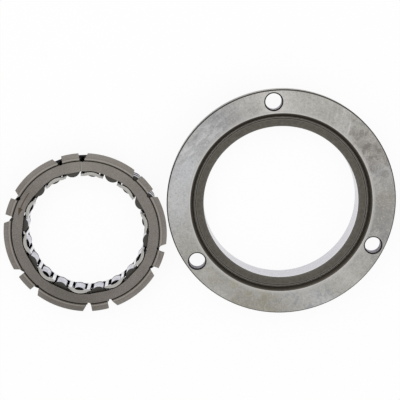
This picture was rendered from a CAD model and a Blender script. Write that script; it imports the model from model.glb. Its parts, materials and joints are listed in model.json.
"""Looks of a starter clutch set: a flanged outer race housing, and beside it a sprag clutch unit."""
import json
import logging
import math
from dataclasses import dataclass, field, replace
from enum import Enum
from typing import Any

import bpy
from mathutils import Matrix, Vector


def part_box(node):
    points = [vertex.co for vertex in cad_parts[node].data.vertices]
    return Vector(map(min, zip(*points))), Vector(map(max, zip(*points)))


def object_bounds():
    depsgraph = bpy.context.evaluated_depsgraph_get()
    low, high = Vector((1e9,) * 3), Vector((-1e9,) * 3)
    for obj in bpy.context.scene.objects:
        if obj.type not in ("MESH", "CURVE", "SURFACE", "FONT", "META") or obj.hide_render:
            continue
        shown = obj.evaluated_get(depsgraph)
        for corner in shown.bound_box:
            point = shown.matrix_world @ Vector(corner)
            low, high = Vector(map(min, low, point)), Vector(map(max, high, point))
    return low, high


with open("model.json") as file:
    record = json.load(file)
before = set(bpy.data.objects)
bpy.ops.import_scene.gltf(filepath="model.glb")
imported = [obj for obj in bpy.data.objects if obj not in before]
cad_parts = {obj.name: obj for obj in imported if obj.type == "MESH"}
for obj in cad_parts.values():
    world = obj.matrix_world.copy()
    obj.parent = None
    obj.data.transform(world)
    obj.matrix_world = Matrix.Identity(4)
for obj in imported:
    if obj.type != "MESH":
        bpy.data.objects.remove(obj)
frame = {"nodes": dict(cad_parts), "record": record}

CAD_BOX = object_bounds()
LOG = logging.getLogger("starter_clutch")
MM = 0.001
# A limit of one metre lies past every point of the set
FAR = 1.0

Rgb = tuple[float, float, float]
Span = tuple[float, float]
Socket = bpy.types.NodeSocket
Value = Socket | float


def tone(red: int, green: int, blue: int) -> Rgb:
    """A linear colour from display values.

    Args:
        red: Display red, 0 to 255.
        green: Display green, 0 to 255.
        blue: Display blue, 0 to 255.

    Returns:
        The colour as three linear values.
    """
    def linear(value: int) -> float:
        """One display value as a linear one."""
        share = value / 255
        return share / 12.92 if share <= 0.04045 else ((share + 0.055) / 1.055) ** 2.4

    return linear(red), linear(green), linear(blue)


def mount(name: str) -> dict[str, Any]:
    """The record's entry for one mount.

    Args:
        name: The mount's name.

    Returns:
        The entry.
    """
    return next(entry for entry in frame["record"]["mounts"] if entry["name"] == name)


class Bench:
    """Puts nodes into one material or node group, and joins them."""

    def __init__(self, tree: bpy.types.NodeTree) -> None:
        """Starts on a tree.

        Args:
            tree: The tree that the nodes go into.
        """
        self.tree = tree

    def put(self, kind: str, **settings: Any) -> bpy.types.Node:
        """Adds a node.

        Args:
            kind: Blender's name of the node.
            settings: Properties to set on it.

        Returns:
            The new node.
        """
        node = self.tree.nodes.new(kind)
        for name, value in settings.items():
            setattr(node, name, value)
        return node

    def feed(self, target: Socket, value: Any) -> None:
        """Joins a socket to another one, or sets it.

        Args:
            target: The socket that takes the value.
            value: A socket, a number or a colour.
        """
        if isinstance(value, bpy.types.NodeSocket):
            self.tree.links.new(value, target)
        elif target.type == "RGBA":
            target.default_value = (*value[:3], 1.0)
        else:
            target.default_value = value

    def math(self, operation: str, first: Value, second: Value = 0.0, clamp: bool = False) -> Socket:
        """One sum.

        Args:
            operation: Blender's name of the sum.
            first: The first number.
            second: The second number.
            clamp: Keep the result from 0 to 1.

        Returns:
            The result.
        """
        node = self.put("ShaderNodeMath", operation=operation, use_clamp=clamp)
        self.feed(node.inputs[0], first)
        self.feed(node.inputs[1], second)
        return node.outputs[0]

    def step(self, value: Value, low: Value, high: Value) -> Socket:
        """A smooth step from 0 at low to 1 at high.

        Args:
            value: The number that is looked at.
            low: Where the step starts.
            high: Where it ends.

        Returns:
            The mask.
        """
        node = self.put("ShaderNodeMapRange", interpolation_type="SMOOTHSTEP")
        self.feed(node.inputs["Value"], value)
        self.feed(node.inputs["From Min"], low)
        self.feed(node.inputs["From Max"], high)
        return node.outputs["Result"]

    def fade(self, value: Value, low: Value, high: Value) -> Socket:
        """The same step the other way, from 1 at low to 0 at high.

        Args:
            value: The number that is looked at.
            low: Where the fall starts.
            high: Where it ends.

        Returns:
            The mask.
        """
        return self.math("SUBTRACT", 1.0, self.step(value, low, high))

    def spread(self, value: Value, low: float, high: float) -> Socket:
        """A mask from 0 to 1, spread between two numbers.

        Args:
            value: The mask.
            low: The number for 0.
            high: The number for 1.

        Returns:
            The spread value.
        """
        node = self.put("ShaderNodeMapRange")
        self.feed(node.inputs["Value"], value)
        self.feed(node.inputs["To Min"], low)
        self.feed(node.inputs["To Max"], high)
        return node.outputs["Result"]

    def blend(self, mask: Value, under: Any, over: Any) -> Socket:
        """Lays one colour over another.

        Args:
            mask: Where the upper colour shows.
            under: The lower colour.
            over: The upper colour.

        Returns:
            The blended colour.
        """
        node = self.put("ShaderNodeMix", data_type="RGBA")
        self.feed(node.inputs[0], mask)
        self.feed(node.inputs[6], under)
        self.feed(node.inputs[7], over)
        return node.outputs[2]

    def blend_value(self, mask: Value, under: Value, over: Value) -> Socket:
        """Lays one number over another.

        Args:
            mask: Where the upper number holds.
            under: The lower number.
            over: The upper number.

        Returns:
            The blended number.
        """
        node = self.put("ShaderNodeMix", data_type="FLOAT")
        self.feed(node.inputs[0], mask)
        self.feed(node.inputs[2], under)
        self.feed(node.inputs[3], over)
        return node.outputs[0]

    def noise(self, scale: Value, detail: float, vector: Socket | None = None,
              along: Socket | None = None) -> Socket:
        """Plain noise, in space or along one number.

        Args:
            scale: Waves per metre.
            detail: Finer layers.
            vector: The place, for noise in space.
            along: The number, for noise along a line.

        Returns:
            The noise, about 0.5 on average.
        """
        node = self.put("ShaderNodeTexNoise", noise_dimensions="3D" if along is None else "1D")
        if along is None:
            self.feed(node.inputs["Vector"], vector)
        else:
            self.feed(node.inputs["W"], along)
        self.feed(node.inputs["Scale"], scale)
        node.inputs["Detail"].default_value = detail
        return node.outputs[0]

    def use(self, group: bpy.types.NodeTree, **values: Any) -> bpy.types.Node:
        """Places a shared node group.

        Args:
            group: The group.
            values: What goes into its inputs, by name, with _ for a space.

        Returns:
            The node, with the group's outputs.
        """
        node = self.put("ShaderNodeGroup", node_tree=group)
        for name, value in values.items():
            self.feed(node.inputs[name.replace("_", " ")], value)
        return node


class Groups:
    """The node groups that more than one finish uses."""

    broad_limits: Span = (0.34, 0.66)
    fine_ratio: float = 9.0
    broken_scale: float = 900.0
    broken_limits: Span = (0.3, 0.6)
    turn_limits: Span = (0.004, 0.12)
    bevel_samples: int = 4

    def __init__(self) -> None:
        """Builds every group once."""
        self.place = self._place()
        self.zone = self._zone()
        self.clouds = self._clouds()
        self.turning = self._turning()
        self.blasting = self._blasting()
        self.edges = self._edges()

    @staticmethod
    def _start(name: str, takes: dict[str, str], gives: dict[str, str]) -> tuple[Bench, Any, Any]:
        """Makes an empty group.

        Args:
            name: The group's name.
            takes: Each input's name and its kind of socket.
            gives: Each output's name and its kind of socket.

        Returns:
            The bench, the group's inputs and its outputs.
        """
        tree = bpy.data.node_groups.new(name, "ShaderNodeTree")
        for label, kind in takes.items():
            tree.interface.new_socket(name=label, in_out="INPUT", socket_type=kind)
        for label, kind in gives.items():
            tree.interface.new_socket(name=label, in_out="OUTPUT", socket_type=kind)
        bench = Bench(tree)
        return bench, bench.put("NodeGroupInput").outputs, bench.put("NodeGroupOutput").inputs

    def _place(self) -> bpy.types.NodeTree:
        """Radius, angle and height of a point about an upright axis."""
        bench, takes, gives = self._start(
            "Place about an axis",
            {"Point": "NodeSocketVector", "Axis X": "NodeSocketFloat", "Axis Y": "NodeSocketFloat"},
            {"Radius": "NodeSocketFloat", "Angle": "NodeSocketFloat", "Height": "NodeSocketFloat"})
        parts = bench.put("ShaderNodeSeparateXYZ")
        bench.feed(parts.inputs[0], takes["Point"])
        x = bench.math("SUBTRACT", parts.outputs[0], takes["Axis X"])
        y = bench.math("SUBTRACT", parts.outputs[1], takes["Axis Y"])
        squares = bench.math("ADD", bench.math("MULTIPLY", x, x), bench.math("MULTIPLY", y, y))
        bench.feed(gives["Radius"], bench.math("SQRT", squares))
        bench.feed(gives["Angle"], bench.math("ARCTAN2", y, x))
        bench.feed(gives["Height"], parts.outputs[2])
        return bench.tree

    def _zone(self) -> bpy.types.NodeTree:
        """1 where a value lies between two limits, with a soft edge."""
        bench, takes, gives = self._start(
            "Zone between limits",
            {"Value": "NodeSocketFloat", "Low": "NodeSocketFloat", "High": "NodeSocketFloat",
             "Soft": "NodeSocketFloat"},
            {"Mask": "NodeSocketFloat"})
        sides = []
        for limit in ("Low", "High"):
            below = bench.math("SUBTRACT", takes[limit], takes["Soft"])
            above = bench.math("ADD", takes[limit], takes["Soft"])
            sides.append(bench.step(takes["Value"], below, above))
        bench.feed(gives["Mask"], bench.math("SUBTRACT", sides[0], sides[1], clamp=True))
        return bench.tree

    def _clouds(self) -> bpy.types.NodeTree:
        """Broad and fine patches, as oil and handling leave on bare steel."""
        bench, takes, gives = self._start(
            "Clouds on bare steel",
            {"Point": "NodeSocketVector", "Scale": "NodeSocketFloat"},
            {"Broad": "NodeSocketFloat", "Fine": "NodeSocketFloat"})
        broad = bench.noise(takes["Scale"], detail=3.0, vector=takes["Point"])
        fine_scale = bench.math("MULTIPLY", takes["Scale"], self.fine_ratio)
        fine = bench.noise(fine_scale, detail=4.0, vector=takes["Point"])
        bench.feed(gives["Broad"], bench.step(broad, *self.broad_limits))
        bench.feed(gives["Fine"], fine)
        return bench.tree

    def _turning(self) -> bpy.types.NodeTree:
        """Rings that a lathe or a grinding wheel leaves about the axis."""
        bench, takes, gives = self._start(
            "Turned rings",
            {"Radius": "NodeSocketFloat", "Height": "NodeSocketFloat", "Pitch": "NodeSocketFloat"},
            {"Rings": "NodeSocketFloat"})
        along = bench.math("ADD", takes["Radius"], takes["Height"])
        waves = bench.math("DIVIDE", 1.0, takes["Pitch"])
        bench.feed(gives["Rings"], bench.noise(waves, detail=2.0, along=along))
        return bench.tree

    def _blasting(self) -> bpy.types.NodeTree:
        """The grain of a blasted or tumbled pressing."""
        bench, takes, gives = self._start(
            "Blasted grain",
            {"Point": "NodeSocketVector", "Size": "NodeSocketFloat"},
            {"Grain": "NodeSocketFloat"})
        waves = bench.math("DIVIDE", 1.0, takes["Size"])
        bench.feed(gives["Grain"], bench.noise(waves, detail=3.0, vector=takes["Point"]))
        return bench.tree

    def _edges(self) -> bpy.types.NodeTree:
        """Eased edges, and a mask of where they are worn bright."""
        bench, takes, gives = self._start(
            "Eased and worn edges",
            {"Point": "NodeSocketVector", "Radius": "NodeSocketFloat"},
            {"Normal": "NodeSocketVector", "Wear": "NodeSocketFloat"})
        bevel = bench.put("ShaderNodeBevel", samples=self.bevel_samples)
        bench.feed(bevel.inputs["Radius"], takes["Radius"])
        dot = bench.put("ShaderNodeVectorMath", operation="DOT_PRODUCT")
        bench.feed(dot.inputs[0], bevel.outputs["Normal"])
        bench.feed(dot.inputs[1], bench.put("ShaderNodeNewGeometry").outputs["Normal"])
        turn = bench.math("SUBTRACT", 1.0, dot.outputs["Value"])
        broken = bench.noise(self.broken_scale, detail=3.0, vector=takes["Point"])
        wear = bench.math("MULTIPLY", bench.step(turn, *self.turn_limits),
                          bench.step(broken, *self.broken_limits))
        bench.feed(gives["Normal"], bevel.outputs["Normal"])
        bench.feed(gives["Wear"], wear)
        return bench.tree


class Surface(Enum):
    """How a steel surface was left."""

    GROUND = "ground"
    BLASTED = "blasted"
    BRIGHT = "bright"


@dataclass(frozen=True)
class Zone:
    """A part of a surface with a colour of its own, between radii and heights about the axis.

    Soft is the width of its blurred edge to each side, strength is how much of it shows, and patch is
    how bright its darker patches are, as a share of its colour.
    """

    colour: Rgb
    roughness: float
    radius: Span = (-FAR, FAR)
    height: Span = (-FAR, FAR)
    soft: float = 0.08 * MM
    strength: float = 1.0
    patch: float = 0.8


@dataclass(frozen=True)
class Stain:
    """A patchy tint on a surface, all over or round one place.

    Scale is in waves per metre. Where the noise is below low nothing shows, and above high the full
    share does. It fades out from its centre to its reach. A streak below 1 draws it out along a line
    that lean turns, and the seed moves the noise.
    """

    colour: Rgb
    scale: float
    share: float
    low: float = 0.45
    high: float = 0.65
    seed: float = 0.0
    centre: tuple[float, float] | None = None
    reach: float = 0.0
    streak: float = 1.0
    lean: float = 0.0


@dataclass(frozen=True)
class Steel:
    """One steel finish: its colours, its grain, its stains and its zones."""

    name: str
    light: Rgb
    dark: Rgb
    roughness: float
    surface: Surface
    axis: Vector
    roughness_change: float = 0.06
    zones: tuple[Zone, ...] = ()
    stains: tuple[Stain, ...] = ()
    stain_detail: float = 5.0
    end_colour: Rgb | None = None
    end_patch: float = 0.7
    end_roughness: float = 0.48
    end_limits: Span = (0.7, 0.9)
    cloud_scale: float = 60.0
    cloud_share: float = 1.0
    grain_share: float = 0.3
    grain_limits: Span = (0.36, 0.64)
    patch_grain: float = 0.7
    patch_limits: Span = (0.38, 0.62)
    pitch: float = 0.35 * MM
    grain: float = 0.22 * MM
    relief: float = 0.15
    relief_depth: float = 0.03 * MM
    edge_radius: float = 0.15 * MM
    edge_colour: Rgb = tone(205, 203, 200)
    edge_share: float = 0.5
    metallic: float = 1.0

    def material(self, groups: Groups) -> bpy.types.Material:
        """Builds the finish.

        Args:
            groups: The shared node groups.

        Returns:
            The material.
        """
        made = bpy.data.materials.new(self.name)
        made.use_nodes = True
        made.node_tree.nodes.clear()
        bench = Bench(made.node_tree)
        point = bench.put("ShaderNodeTexCoord").outputs["Object"]
        place = bench.use(groups.place, Point=point, Axis_X=self.axis.x, Axis_Y=self.axis.y).outputs
        clouds = bench.use(groups.clouds, Point=point, Scale=self.cloud_scale).outputs
        edges = bench.use(groups.edges, Point=point, Radius=self.edge_radius).outputs
        grain = self._grain(bench, groups, point, place)
        half = self.cloud_share / 2
        colour = bench.blend(bench.spread(clouds["Broad"], 0.5 - half, 0.5 + half), self.dark, self.light)
        specks = bench.step(grain, *self.grain_limits)
        colour = bench.blend(bench.spread(specks, 0.0, self.grain_share), colour, self.light)
        colour = self._lay_stains(bench, groups, point, colour)
        rough: Value = bench.spread(clouds["Fine"], self.roughness - self.roughness_change,
                                    self.roughness + self.roughness_change)
        if self.end_colour is not None:
            colour, rough = self._ends(bench, colour, rough, clouds["Fine"])
        patches = bench.step(bench.blend_value(self.patch_grain, clouds["Fine"], grain),
                             *self.patch_limits)
        colour, rough = self._lay_zones(bench, groups, place, patches, colour, rough)
        colour, rough = self.marks(bench, place, colour, rough)
        worn = bench.math("MULTIPLY", edges["Wear"], self.edge_share)
        colour = bench.blend(worn, colour, self.edge_colour)
        self._finish(bench, colour, rough, grain, edges["Normal"])
        return made

    def _grain(self, bench: Bench, groups: Groups, point: Socket, place: Any) -> Socket:
        """The fine relief of this surface.

        Args:
            bench: The material's bench.
            groups: The shared node groups.
            point: The place on the object.
            place: Radius, angle and height there.

        Returns:
            The relief, 0 to 1.
        """
        if self.surface is Surface.BLASTED:
            return bench.use(groups.blasting, Point=point, Size=self.grain).outputs["Grain"]
        rings = bench.use(groups.turning, Radius=place["Radius"], Height=place["Height"],
                          Pitch=self.pitch)
        return rings.outputs["Rings"]

    def _lay_stains(self, bench: Bench, groups: Groups, point: Socket, colour: Socket) -> Socket:
        """Lays each stain over the colour.

        Args:
            bench: The material's bench.
            groups: The shared node groups.
            point: The place on the object.
            colour: The colour so far.

        Returns:
            The new colour.
        """
        for stain in self.stains:
            turned = bench.put("ShaderNodeMapping")
            bench.feed(turned.inputs["Vector"], point)
            turned.inputs["Rotation"].default_value = (0.0, 0.0, stain.lean)
            moved = bench.put("ShaderNodeMapping")
            bench.feed(moved.inputs["Vector"], turned.outputs[0])
            moved.inputs["Location"].default_value = (stain.seed, -stain.seed, 0.0)
            moved.inputs["Scale"].default_value = (stain.streak, 1.0, 1.0)
            patches = bench.noise(stain.scale, self.stain_detail, moved.outputs[0])
            mask = bench.math("MULTIPLY", bench.step(patches, stain.low, stain.high), stain.share)
            if stain.centre is not None:
                away = bench.use(groups.place, Point=point, Axis_X=stain.centre[0],
                                 Axis_Y=stain.centre[1]).outputs["Radius"]
                mask = bench.math("MULTIPLY", mask, bench.fade(away, 0.0, stain.reach))
            colour = bench.blend(mask, colour, stain.colour)
        return colour

    def _ends(self, bench: Bench, colour: Socket, rough: Value, fine: Socket) -> tuple[Socket, Socket]:
        """Lays the end faces' colour where the surface faces up or down.

        Args:
            bench: The material's bench.
            colour: The colour so far.
            rough: The roughness so far.
            fine: Fine patches.

        Returns:
            The new colour and roughness.
        """
        parts = bench.put("ShaderNodeSeparateXYZ")
        bench.feed(parts.inputs[0], bench.put("ShaderNodeTexCoord").outputs["Normal"])
        ends = bench.step(bench.math("ABSOLUTE", parts.outputs[2]), *self.end_limits)
        shaded = tuple(part * self.end_patch for part in self.end_colour)
        patchy = bench.blend(fine, shaded, self.end_colour)
        return bench.blend(ends, colour, patchy), bench.blend_value(ends, rough, self.end_roughness)

    def _lay_zones(self, bench: Bench, groups: Groups, place: Any, patches: Socket, colour: Socket,
                   rough: Value) -> tuple[Socket, Value]:
        """Lays each zone over the colour and the roughness.

        Args:
            bench: The material's bench.
            groups: The shared node groups.
            place: Radius, angle and height.
            patches: Fine patches.
            colour: The colour so far.
            rough: The roughness so far.

        Returns:
            The new colour and roughness.
        """
        for zone in self.zones:
            masks = []
            for value, span in (("Radius", zone.radius), ("Height", zone.height)):
                if span != (-FAR, FAR):
                    masks.append(bench.use(groups.zone, Value=place[value], Low=span[0],
                                           High=span[1], Soft=zone.soft).outputs["Mask"])
            mask = masks[0] if len(masks) == 1 else bench.math("MULTIPLY", masks[0], masks[1])
            if zone.strength < 1:
                mask = bench.math("MULTIPLY", mask, zone.strength)
            shaded = tuple(part * zone.patch for part in zone.colour)
            patchy = bench.blend(patches, shaded, zone.colour)
            colour = bench.blend(mask, colour, patchy)
            rough = bench.blend_value(mask, rough, zone.roughness)
        return colour, rough

    def marks(self, bench: Bench, place: Any, colour: Socket, rough: Value) -> tuple[Socket, Value]:
        """Marks of this finish alone; plain steel has none."""
        return colour, rough

    def _finish(self, bench: Bench, colour: Socket, rough: Value, grain: Socket, eased: Socket) -> None:
        """Joins everything to the shader.

        Args:
            bench: The material's bench.
            colour: The base colour.
            rough: The roughness.
            grain: The fine relief.
            eased: The normal with eased edges.
        """
        bump = bench.put("ShaderNodeBump")
        bump.inputs["Strength"].default_value = self.relief
        bump.inputs["Distance"].default_value = self.relief_depth
        bench.feed(bump.inputs["Height"], grain)
        bench.feed(bump.inputs["Normal"], eased)
        shader = bench.put("ShaderNodeBsdfPrincipled")
        bench.feed(shader.inputs["Base Color"], colour)
        bench.feed(shader.inputs["Roughness"], rough)
        bench.feed(shader.inputs["Normal"], bump.outputs[0])
        shader.inputs["Metallic"].default_value = self.metallic
        bench.feed(bench.put("ShaderNodeOutputMaterial").inputs["Surface"], shader.outputs[0])


@dataclass(frozen=True)
class HousingSteel(Steel):
    """The housing's steel, with the tone of its bolt holes."""

    hole_ring: float = 0.0
    hole_angle: float = 0.0
    hole_count: int = 3
    hole_radius: float = 0.0
    rim_width: float = 0.62 * MM
    rim_depth: float = 0.9 * MM
    face_height: float = 0.0
    rim_colour: Rgb = tone(30, 27, 25)
    rim_roughness: float = 0.35
    soft: float = 0.05 * MM
    wall_colour: Rgb = tone(170, 166, 175)
    wall_roughness: float = 0.7

    def marks(self, bench: Bench, place: Any, colour: Socket, rough: Value) -> tuple[Socket, Value]:
        """Dark chamfers and dull grey walls at the bolt holes.

        Args:
            bench: The material's bench.
            place: Radius, angle and height.
            colour: The colour so far.
            rough: The roughness so far.

        Returns:
            The new colour and roughness.
        """
        sector = math.tau / self.hole_count
        turned = bench.math("SUBTRACT", place["Angle"], self.hole_angle - sector / 2 - math.tau)
        folded = bench.math("SUBTRACT", bench.math("MODULO", turned, sector), sector / 2)
        squares = bench.math("ADD", bench.math("MULTIPLY", place["Radius"], place["Radius"]),
                             self.hole_ring ** 2)
        across = bench.math("MULTIPLY", bench.math("COSINE", folded), 2 * self.hole_ring)
        square = bench.math("SUBTRACT", squares, bench.math("MULTIPLY", across, place["Radius"]))
        away = bench.math("SQRT", bench.math("MAXIMUM", square, 0.0))
        hole = bench.fade(away, self.hole_radius + self.soft, self.hole_radius + 2 * self.soft)
        edge = self.hole_radius + self.rim_width
        rim = bench.fade(away, edge - self.soft, edge + self.soft)
        deep = bench.math("LESS_THAN", place["Height"], self.face_height - self.rim_depth)
        wall = bench.math("MULTIPLY", hole, deep)
        colour = bench.blend(rim, colour, self.rim_colour)
        colour = bench.blend(wall, colour, self.wall_colour)
        rough = bench.blend_value(rim, rough, self.rim_roughness)
        return colour, bench.blend_value(wall, rough, self.wall_roughness)


@dataclass(frozen=True)
class MarkedSteel(Steel):
    """Steel with a turning arrow etched on its upper face, and a fine line across it."""

    face_height: float = 0.0
    line_radius: float = 34.75 * MM
    line_width: float = 0.5 * MM
    head_width: float = 2.2 * MM
    tail: float = math.radians(139.5)
    head: float = math.radians(154.4)
    tip: float = math.radians(161.2)
    soft: float = 0.06 * MM
    etched: Rgb = tone(72, 62, 48)
    etched_share: float = 0.85
    etched_roughness: float = 0.6
    joint: float = math.radians(88.9)
    joint_width: float = 0.35 * MM
    joint_light: Rgb = tone(156, 152, 146)
    joint_dark: Rgb = tone(88, 84, 80)
    joint_share: float = 0.5

    def marks(self, bench: Bench, place: Any, colour: Socket, rough: Value) -> tuple[Socket, Value]:
        """The etched arrow and the fine line across the ring, light on one side and dark on the other.

        Args:
            bench: The material's bench.
            place: Radius, angle and height.
            colour: The colour so far.
            rough: The roughness so far.

        Returns:
            The new colour and roughness.
        """
        off = bench.math("ABSOLUTE", bench.math("SUBTRACT", place["Radius"], self.line_radius))
        angle = place["Angle"]
        shaft = bench.fade(off, self.line_width / 2 - self.soft, self.line_width / 2 + self.soft)
        for limit, sign in ((self.tail, 1), (self.head, -1)):
            side = bench.math("GREATER_THAN", bench.math("MULTIPLY", angle, sign), limit * sign)
            shaft = bench.math("MULTIPLY", shaft, side)
        left = bench.math("DIVIDE", bench.math("SUBTRACT", self.tip, angle), self.tip - self.head)
        half = bench.math("MULTIPLY", left, self.head_width / 2)
        inside = bench.math("SUBTRACT", half, off)
        point = bench.math("MULTIPLY", bench.step(inside, -self.soft, self.soft),
                           bench.math("GREATER_THAN", angle, self.head))
        mark = bench.math("MAXIMUM", shaft, point)
        top = bench.math("GREATER_THAN", place["Height"], self.face_height)
        mark = bench.math("MULTIPLY", bench.math("MULTIPLY", mark, top), self.etched_share)
        colour = bench.blend(mark, colour, self.etched)
        rough = bench.blend_value(mark, rough, self.etched_roughness)
        past = bench.math("MULTIPLY", bench.math("SUBTRACT", angle, self.joint), place["Radius"])
        for centre, shade in ((0.0, self.joint_light), (self.joint_width, self.joint_dark)):
            beside = bench.math("ABSOLUTE", bench.math("SUBTRACT", past, centre))
            line = bench.fade(beside, 0.0, self.joint_width)
            colour = bench.blend(bench.math("MULTIPLY", line, self.joint_share), colour, shade)
        return colour, rough


def dress(node: str, material: bpy.types.Material) -> None:
    """Gives a CAD node its finish.

    Args:
        node: The node's name.
        material: The finish.
    """
    piece = frame["nodes"][node]
    for slot in piece.material_slots:
        slot.material = material
    LOG.info("%s: %s", node, material.name)


@dataclass
class Housing:
    """The flanged outer race housing."""

    race: float = mount("race_bore")["dims"]["r_mm"] * MM
    top: float = mount("bolting_face")["pos_m"][2]
    rim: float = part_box("housing")[1].x
    face_depth: float = 1.0 * MM
    ledge_drop: float = 2.0 * MM
    ledge_depth: float = 0.8 * MM
    floor_out: float = 5.03 * MM
    mouth_flare: float = 1.7 * MM
    mouth_wear: float = 0.6 * MM
    inner_band: float = 1.4 * MM
    recess_foot: float = 0.3 * MM
    foot_shade: float = 0.5 * MM
    light_line: Span = (0.4 * MM, 0.8 * MM)
    groove_in: float = 0.95 * MM
    groove_width: float = 0.3 * MM
    bore_drop: float = 0.4 * MM
    bore_edge: float = 1.0 * MM
    rim_line: float = 0.55 * MM
    overlap: float = 0.05 * MM
    face_middle: float = 5 * MM
    hole_angle: float = math.radians(91.9)

    def zones(self) -> tuple[Zone, ...]:
        """The tones of the recess, the race and the rims."""
        floor = self.race + self.floor_out
        mouth = floor + self.mouth_flare
        ledge = self.top - self.ledge_drop
        above = (ledge + self.recess_foot, FAR)
        upper = (self.top - self.face_depth, FAR)
        bore = ledge - self.bore_drop
        line_in, line_out = self.light_line
        groove = floor - self.groove_in
        return (
            # The lighter band of the face round the mouth, and the dark line at its rim
            Zone(tone(184, 182, 179), roughness=0.42, radius=(mouth, mouth + self.inner_band),
                 height=upper, soft=0.2 * MM, strength=0.55),
            Zone(tone(70, 66, 62), roughness=0.45, radius=(self.rim - self.rim_line, FAR), height=upper),
            # The ledge, then the recess's wall with its shaded foot and its worn mouth
            Zone(tone(97, 93, 87), roughness=0.5, radius=(self.race + self.overlap, floor),
                 height=(ledge - self.ledge_depth, above[0]), patch=0.6),
            Zone(tone(58, 54, 48), roughness=0.5, radius=(floor - 3 * self.overlap, mouth),
                 height=above, patch=0.6),
            Zone(tone(30, 27, 24), roughness=0.5,
                 radius=(floor - 2 * self.overlap, floor + self.foot_shade),
                 height=above, soft=0.15 * MM, strength=0.55),
            Zone(tone(104, 98, 90), roughness=0.45, radius=(mouth - self.mouth_wear, mouth),
                 height=above, soft=0.15 * MM, strength=0.5),
            # The light line on the ledge and the dark groove beside it
            Zone(tone(132, 128, 122), roughness=0.45, radius=(floor - line_out, floor - line_in),
                 height=(ledge - 2 * self.overlap, FAR), soft=0.12 * MM, strength=0.75, patch=0.85),
            Zone(tone(44, 40, 36), roughness=0.5, radius=(groove - self.groove_width, groove),
                 height=(ledge - self.groove_width, FAR), soft=0.12 * MM, strength=0.6),
            # The bright race bore and its brighter upper edge
            Zone(tone(212, 211, 217), roughness=0.22, radius=(-FAR, self.race + 2 * self.overlap),
                 height=(-FAR, bore)),
            Zone(tone(228, 227, 232), roughness=0.25, radius=(-FAR, self.race + self.overlap),
                 height=(bore - self.bore_edge, bore)),
        )

    def stains(self) -> tuple[Stain, ...]:
        """Oil and handling marks on the ground face."""
        side = self.race + self.floor_out + self.mouth_flare + self.face_middle
        # Colour, scale, share, low, high and seed, then the centre and the reach of a local one
        return (
            Stain(tone(166, 169, 174), 24.0, 0.5, 0.46, 0.6, 0.3),
            Stain(tone(156, 155, 147), 30.0, 0.5, 0.5, 0.64, 0.7),
            Stain(tone(122, 116, 110), 60.0, 0.6, 0.34, 0.62, 1.3, (side, 0.45 * side), 30 * MM),
            Stain(tone(130, 126, 119), 60.0, 0.85, 0.2, 0.5, 7.2, (side, -0.05 * side), 26 * MM),
            Stain(tone(128, 127, 128), 60.0, 0.6, 0.2, 0.5, 8.1, (-0.5 * side, 0.87 * side), 20 * MM),
            Stain(tone(190, 191, 194), 60.0, 0.55, 0.2, 0.5, 9.4, (-0.98 * side, 0.2 * side), 36 * MM),
            Stain(tone(116, 116, 117), 60.0, 0.55, 0.34, 0.62, 2.1, (side, -0.45 * side), 26 * MM),
            Stain(tone(128, 124, 110), 50.0, 0.6, 0.36, 0.62, 3.3, (-0.2 * side, -1.05 * side), 36 * MM),
            Stain(tone(208, 205, 203), 40.0, 0.6, 0.3, 0.6, 4.2, (-0.1 * side, side), 26 * MM),
            Stain(tone(108, 105, 104), 120.0, 0.42, 0.44, 0.6, 5.7, (side, 0.35 * side), 22 * MM),
            Stain(tone(98, 92, 88), 320.0, 0.6, 0.47, 0.6, 3.9, (0.9 * side, 0.5 * side), 32 * MM),
            Stain(tone(112, 112, 116), 240.0, 0.45, 0.48, 0.62, 6.9, (0.9 * side, -0.4 * side), 24 * MM),
            Stain(tone(112, 117, 128), 260.0, 0.5, 0.5, 0.63, 4.4, (0.2 * side, -side), 28 * MM),
            Stain(tone(140, 133, 108), 150.0, 0.4, 0.48, 0.62, 2.2, (-0.4 * side, -0.9 * side), 34 * MM),
            Stain(tone(200, 200, 202), 500.0, 0.45, 0.5, 0.66, 7.7, (-0.8 * side, 0.6 * side), 44 * MM,
                  streak=0.25, lean=math.radians(-40)),
            Stain(tone(132, 131, 132), 420.0, 0.5, 0.5, 0.66, 1.9, (-0.7 * side, 0.7 * side), 40 * MM,
                  streak=0.25, lean=math.radians(-40)),
            Stain(tone(200, 198, 196), 800.0, 0.35, 0.5, 0.68, 8.8, (0.7 * side, 0.7 * side), 40 * MM,
                  streak=0.12, lean=math.radians(-80)),
            Stain(tone(116, 114, 113), 650.0, 0.25, 0.5, 0.72, 5.1),
            Stain(tone(200, 199, 198), 1300.0, 0.2, 0.45, 0.7, 6.4),
            Stain(tone(100, 98, 96), 1700.0, 0.3, 0.45, 0.7, 2.7),
        )

    def dress(self, groups: Groups) -> None:
        """Gives the housing its steel.

        Args:
            groups: The shared node groups.
        """
        pattern = mount("bolt_circle")["dims"]
        steel = HousingSteel(
            name="housing_ground_steel", light=tone(169, 167, 163), dark=tone(147, 145, 139),
            roughness=0.42, surface=Surface.GROUND, axis=Vector((0.0, 0.0, 0.0)),
            zones=self.zones(), stains=self.stains(), cloud_scale=70.0, pitch=0.62 * MM, relief=0.12,
            hole_ring=pattern["pcd_mm"] / 2 * MM, hole_angle=self.hole_angle,
            hole_count=pattern["count"], hole_radius=pattern["hole_r_mm"] * MM,
            face_height=self.top, edge_share=0.2)
        dress("housing", steel.material(groups))


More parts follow.
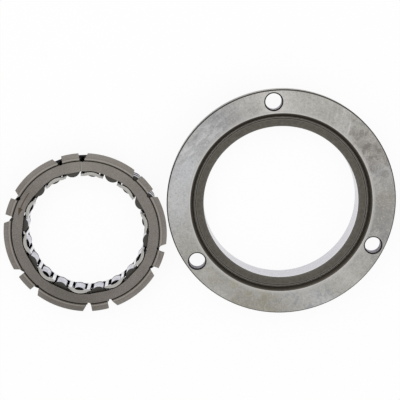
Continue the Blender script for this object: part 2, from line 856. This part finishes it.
@dataclass
class ClutchUnit:
    """The two cages, the side ring, the ribbon spring and the sprags."""

    axis: Vector = field(default_factory=lambda: Vector(mount("hub_seat")["pos_m"]))
    ring_top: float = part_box("side_ring")[1].z
    ring_rim: float = 0.35 * MM
    bend_at: float = 37.86 * MM
    bend_width: float = 1.03 * MM
    light_line: Span = (0.2 * MM, 0.7 * MM)
    wall_out: float = 1.8 * MM
    fold_at: float = 38.9 * MM
    fold_width: float = 0.3 * MM
    flange_thickness: float = 1.2 * MM
    face_gap: float = 0.1 * MM
    bay_limit: float = 33.8 * MM
    bridge_side: float = 31.35 * MM
    bridge_gap: float = 0.12 * MM
    cage_inside: float = 29.75 * MM
    bright_skin: float = 0.2 * MM
    cam_depth: float = 0.85 * MM
    bar_top: float = 11.3 * MM
    bar_wear: float = 0.5 * MM
    foot_height: float = 2.0 * MM
    shade_height: float = 1.1 * MM
    sprag_span: Span = (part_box("sprag_01")[0].z + 0.15 * MM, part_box("sprag_01")[1].z - 0.15 * MM)
    band_heights: tuple[float, ...] = (2.5 * MM, 6.4 * MM)
    band_width: float = 2.1 * MM
    band_from: float = 37.6 * MM
    handled_reach: float = 42 * MM
    # Up to this number the sprags under the bridges have the lighter ends too
    lit_ends: int = 7

    def dress(self, groups: Groups) -> None:
        """Gives each piece its finish.

        Args:
            groups: The shared node groups.
        """
        self._dress_outer_cage(groups)
        self._dress_side_ring(groups)
        self._dress_inner_cage(groups)
        self._dress_sprags(groups)
        ribbon = Steel("ribbon_spring_steel", tone(140, 138, 134), tone(96, 94, 92), 0.35,
                       Surface.BRIGHT, self.axis, pitch=0.2 * MM)
        dress("ribbon_spring", ribbon.material(groups))

    def blasted_stains(self) -> tuple[Stain, ...]:
        """Fine light and dark grain, and a darker and a lighter area of the blasted pieces."""
        stains = [Stain(tone(160, 155, 148), 2600.0, 0.36, 0.5, 0.62, 4.7),
                  Stain(tone(78, 74, 70), 3000.0, 0.4, 0.5, 0.62, 8.3)]
        for colour, share, seed, bearing in ((tone(86, 82, 77), 0.5, 3.1, 250),
                                             (tone(152, 148, 141), 0.26, 5.2, 85)):
            angle = math.radians(bearing)
            centre = (self.axis.x + self.fold_at * math.cos(angle),
                      self.axis.y + self.fold_at * math.sin(angle))
            stains.append(Stain(colour, 60.0, share, 0.2, 0.5, seed, centre, self.handled_reach))
        return tuple(stains)

    def _dress_outer_cage(self, groups: Groups) -> None:
        """Dresses the outer cage: blasted flange, dark bend, blackened wall.

        Args:
            groups: The shared node groups.
        """
        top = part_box("outer_cage")[1].z
        under = top - self.flange_thickness
        line_in, line_out = self.light_line
        bend = Zone(tone(58, 53, 48), roughness=0.5, radius=(self.bend_at - self.bend_width, self.bend_at),
                    height=(-FAR, top - 0.02 * MM), soft=0.12 * MM)
        light = Zone(tone(166, 161, 152), roughness=0.45,
                     radius=(self.bend_at + line_in, self.bend_at + line_out),
                     height=(under, FAR), soft=0.15 * MM, strength=0.5)
        fold = Zone(tone(104, 99, 93), roughness=0.55, radius=(self.fold_at, self.fold_at + self.fold_width),
                    height=(under, FAR), strength=0.35)
        wall = Zone(tone(16, 15, 16), roughness=1.0, radius=(-FAR, self.bend_at + self.wall_out),
                    height=(-FAR, under - 2 * self.face_gap))
        outer = Steel("outer_cage_blasted_steel", tone(132, 127, 122), tone(104, 99, 94), 0.55,
                      Surface.BLASTED, self.axis, zones=(bend, light, fold, wall),
                      stains=self.blasted_stains(), relief=0.35, cloud_scale=110.0, cloud_share=0.35,
                      grain_share=0.5, edge_colour=tone(160, 156, 148))
        dress("outer_cage", outer.material(groups))

    def _dress_side_ring(self, groups: Groups) -> None:
        """Dresses the side ring: blasted face with its arrow, dark bays and rim.

        Args:
            groups: The shared node groups.
        """
        face = self.ring_top - self.face_gap
        bays = Zone(tone(26, 24, 22), roughness=0.5, radius=(-FAR, self.bay_limit), height=(-FAR, face))
        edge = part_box("side_ring")[1].x - self.axis.x
        rim = Zone(tone(62, 58, 54), roughness=0.5, radius=(edge - self.ring_rim, FAR), strength=0.6)
        ring = MarkedSteel("side_ring_etched_steel", tone(126, 121, 116), tone(98, 93, 88), 0.55,
                           Surface.BLASTED, self.axis, zones=(bays, rim),
                           stains=self.blasted_stains(), relief=0.3, cloud_scale=110.0,
                           cloud_share=0.35, grain_share=0.5, edge_colour=tone(158, 153, 145),
                           face_height=face)
        dress("side_ring", ring.material(groups))

    def _dress_inner_cage(self, groups: Groups) -> None:
        """Dresses the inner cage: bright bars and bridges with dark walls.

        Args:
            groups: The shared node groups.
        """
        bridge_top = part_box("inner_cage")[1].z
        foot = Zone(tone(248, 248, 250), roughness=0.3, height=(-FAR, self.foot_height), patch=0.95)
        walls = Zone(tone(30, 29, 32), roughness=0.5, radius=(self.cage_inside + self.bright_skin, FAR),
                     height=(-FAR, self.bar_top - self.bar_wear))
        bridges = Zone(tone(184, 182, 177), roughness=0.3,
                       height=(self.bar_top - self.face_gap / 2, FAR), patch=0.66)
        sides = Zone(tone(22, 21, 22), roughness=0.5, radius=(self.bridge_side, FAR),
                     height=(-FAR, bridge_top - self.bridge_gap))
        inner = Steel("inner_cage_bright_steel", tone(238, 238, 242), tone(206, 205, 210), 0.2,
                      Surface.BRIGHT, self.axis, zones=(foot, walls, bridges, sides),
                      cloud_scale=300.0, pitch=0.25 * MM, edge_colour=tone(238, 238, 240))
        dress("inner_cage", inner.material(groups))

    def _dress_sprags(self, groups: Groups) -> None:
        """Dresses every sprag: dark ends, polished cam faces.

        Args:
            groups: The shared node groups.
        """
        flank = Zone(tone(36, 35, 38), roughness=0.45,
                     radius=(self.cage_inside + self.cam_depth, self.bend_at), height=self.sprag_span)
        shade = Zone(tone(44, 42, 46), roughness=0.5, radius=(-FAR, self.bend_at),
                     height=(-FAR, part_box("sprag_01")[0].z + self.shade_height))
        bands = tuple(Zone(tone(14, 13, 16), roughness=1.0, radius=(self.band_from, FAR),
                           height=(at, at + self.band_width)) for at in self.band_heights)
        sprag = Steel("sprag_polished_steel", tone(210, 209, 219), tone(162, 162, 174), 0.2,
                      Surface.BRIGHT, self.axis, zones=(flank, shade, *bands),
                      end_colour=tone(80, 78, 74), stains=(
                          Stain(tone(150, 150, 162), 1100.0, 0.6, 0.45, 0.62, 2.9),
                          Stain(tone(238, 238, 244), 1500.0, 0.6, 0.5, 0.66, 6.1)),
                      cloud_scale=260.0, pitch=0.3 * MM, relief=0.08, edge_share=0.25,
                      edge_colour=tone(210, 210, 214))
        open_end = sprag.material(groups)
        shaded = replace(sprag, name="sprag_under_bridge_steel", end_colour=tone(24, 23, 22))
        under_bridge = shaded.material(groups)
        for name in sorted(frame["nodes"]):
            if name.startswith("sprag_"):
                index = int(name[-2:])
                dress(name, under_bridge if index % 2 and index > self.lit_ends else open_end)


@dataclass(frozen=True)
class SoftBox:
    """A square lamp above the object, with its share of the studio's power."""

    name: str
    at: tuple[float, float, float]
    size: float
    share: float


@dataclass
class Studio:
    """White floor, soft light and the camera of the photograph."""

    camera_at: Vector = field(default_factory=lambda: Vector((-40.6, 129.8, 550.2)) * MM)
    tilt: float = math.radians(13.19)
    roll: float = math.radians(-3.31)
    lens: float = 99.0
    sensor: float = 36.0
    clip: Span = (0.01, 20.0)
    floor_size: float = 6.0
    floor_white: float = 0.9
    world_level: float = 0.72
    lamp_power: float = 3.2
    shadow_share: float = 0.09
    boxes: tuple[SoftBox, ...] = (SoftBox("key_box", (-0.35, 0.55, 0.85), 0.7, 1.0),
                                  SoftBox("fill_box", (0.6, -0.35, 0.8), 0.7, 0.5))

    def build(self) -> None:
        """Builds the studio."""
        self._camera()
        self._world()
        self._floor()
        self._lamps()
        bpy.context.scene.view_settings.view_transform = "Standard"

    def _camera(self) -> None:
        """Adds the camera, tilted down and rolled as the photograph was."""
        data = bpy.data.cameras.new("photo_camera")
        data.lens, data.sensor_width, data.sensor_fit = self.lens, self.sensor, "HORIZONTAL"
        data.clip_start, data.clip_end = self.clip
        view = Vector((0.0, -math.sin(self.tilt), -math.cos(self.tilt)))
        up = Vector((0.0, math.cos(self.tilt), -math.sin(self.tilt)))
        right = view.cross(up)
        across = right * math.cos(self.roll) + up * math.sin(self.roll)
        upwards = up * math.cos(self.roll) - right * math.sin(self.roll)
        turn = Matrix((across, upwards, -view)).transposed().to_4x4()
        camera = bpy.data.objects.new("photo_camera", data)
        camera.matrix_world = Matrix.Translation(self.camera_at) @ turn
        bpy.context.collection.objects.link(camera)
        bpy.context.scene.camera = camera

    @staticmethod
    def _seen(bench: Bench) -> Socket:
        """1 for camera, mirror and glass rays, 0 for the rest.

        Args:
            bench: The bench of the floor or the world.

        Returns:
            The mask.
        """
        rays = bench.put("ShaderNodeLightPath").outputs
        either = bench.math("MAXIMUM", rays["Is Camera Ray"], rays["Is Glossy Ray"])
        return bench.math("MAXIMUM", either, rays["Is Transmission Ray"])

    def _world(self) -> None:
        """A soft even sky, white to the camera and to reflections."""
        world = bpy.data.worlds.new("soft_sky")
        world.use_nodes = True
        world.node_tree.nodes.clear()
        bench = Bench(world.node_tree)
        sky = bench.put("ShaderNodeBackground")
        bench.feed(sky.inputs["Color"], (1.0, 1.0, 1.0))
        level = bench.spread(self._seen(bench), self.world_level, 1.0)
        bench.feed(sky.inputs["Strength"], level)
        bench.feed(bench.put("ShaderNodeOutputWorld").inputs["Surface"], sky.outputs[0])
        bpy.context.scene.world = world

    def _floor(self) -> None:
        """A white floor that keeps a faint shadow of the object."""
        half = self.floor_size / 2
        mesh = bpy.data.meshes.new("studio_floor")
        height = CAD_BOX[0][2]
        mesh.from_pydata([(x * half, y * half, height) for x, y in ((-1, -1), (1, -1), (1, 1), (-1, 1))],
                         [], [(0, 1, 2, 3)])
        floor = bpy.data.objects.new("studio_floor", mesh)
        bpy.context.collection.objects.link(floor)
        white = bpy.data.materials.new("studio_white")
        white.use_nodes = True
        white.node_tree.nodes.clear()
        bench = Bench(white.node_tree)
        matte = bench.put("ShaderNodeBsdfDiffuse")
        bench.feed(matte.inputs["Color"], (self.floor_white,) * 3)
        glow = bench.put("ShaderNodeEmission")
        bench.feed(glow.inputs["Color"], (1.0, 1.0, 1.0))
        mixed = bench.put("ShaderNodeMixShader")
        bench.feed(mixed.inputs[0], bench.math("MULTIPLY", self._seen(bench), 1 - self.shadow_share))
        bench.feed(mixed.inputs[1], matte.outputs[0])
        bench.feed(mixed.inputs[2], glow.outputs[0])
        bench.feed(bench.put("ShaderNodeOutputMaterial").inputs["Surface"], mixed.outputs[0])
        mesh.materials.append(white)

    def _lamps(self) -> None:
        """Adds the soft boxes over the object."""
        for box in self.boxes:
            data = bpy.data.lights.new(box.name, "AREA")
            data.shape, data.size, data.energy = "SQUARE", box.size, self.lamp_power * box.share
            lamp = bpy.data.objects.new(box.name, data)
            spot = Vector(box.at)
            lamp.matrix_world = Matrix.Translation(spot) @ spot.to_track_quat("Z", "Y").to_matrix().to_4x4()
            bpy.context.collection.objects.link(lamp)


def main() -> None:
    """Builds the studio and dresses the two pieces of the set."""
    logging.basicConfig(level=logging.INFO, format="%(name)s: %(message)s")
    Studio().build()
    groups = Groups()
    Housing().dress(groups)
    ClutchUnit().dress(groups)


if __name__ == "__main__":
    main()
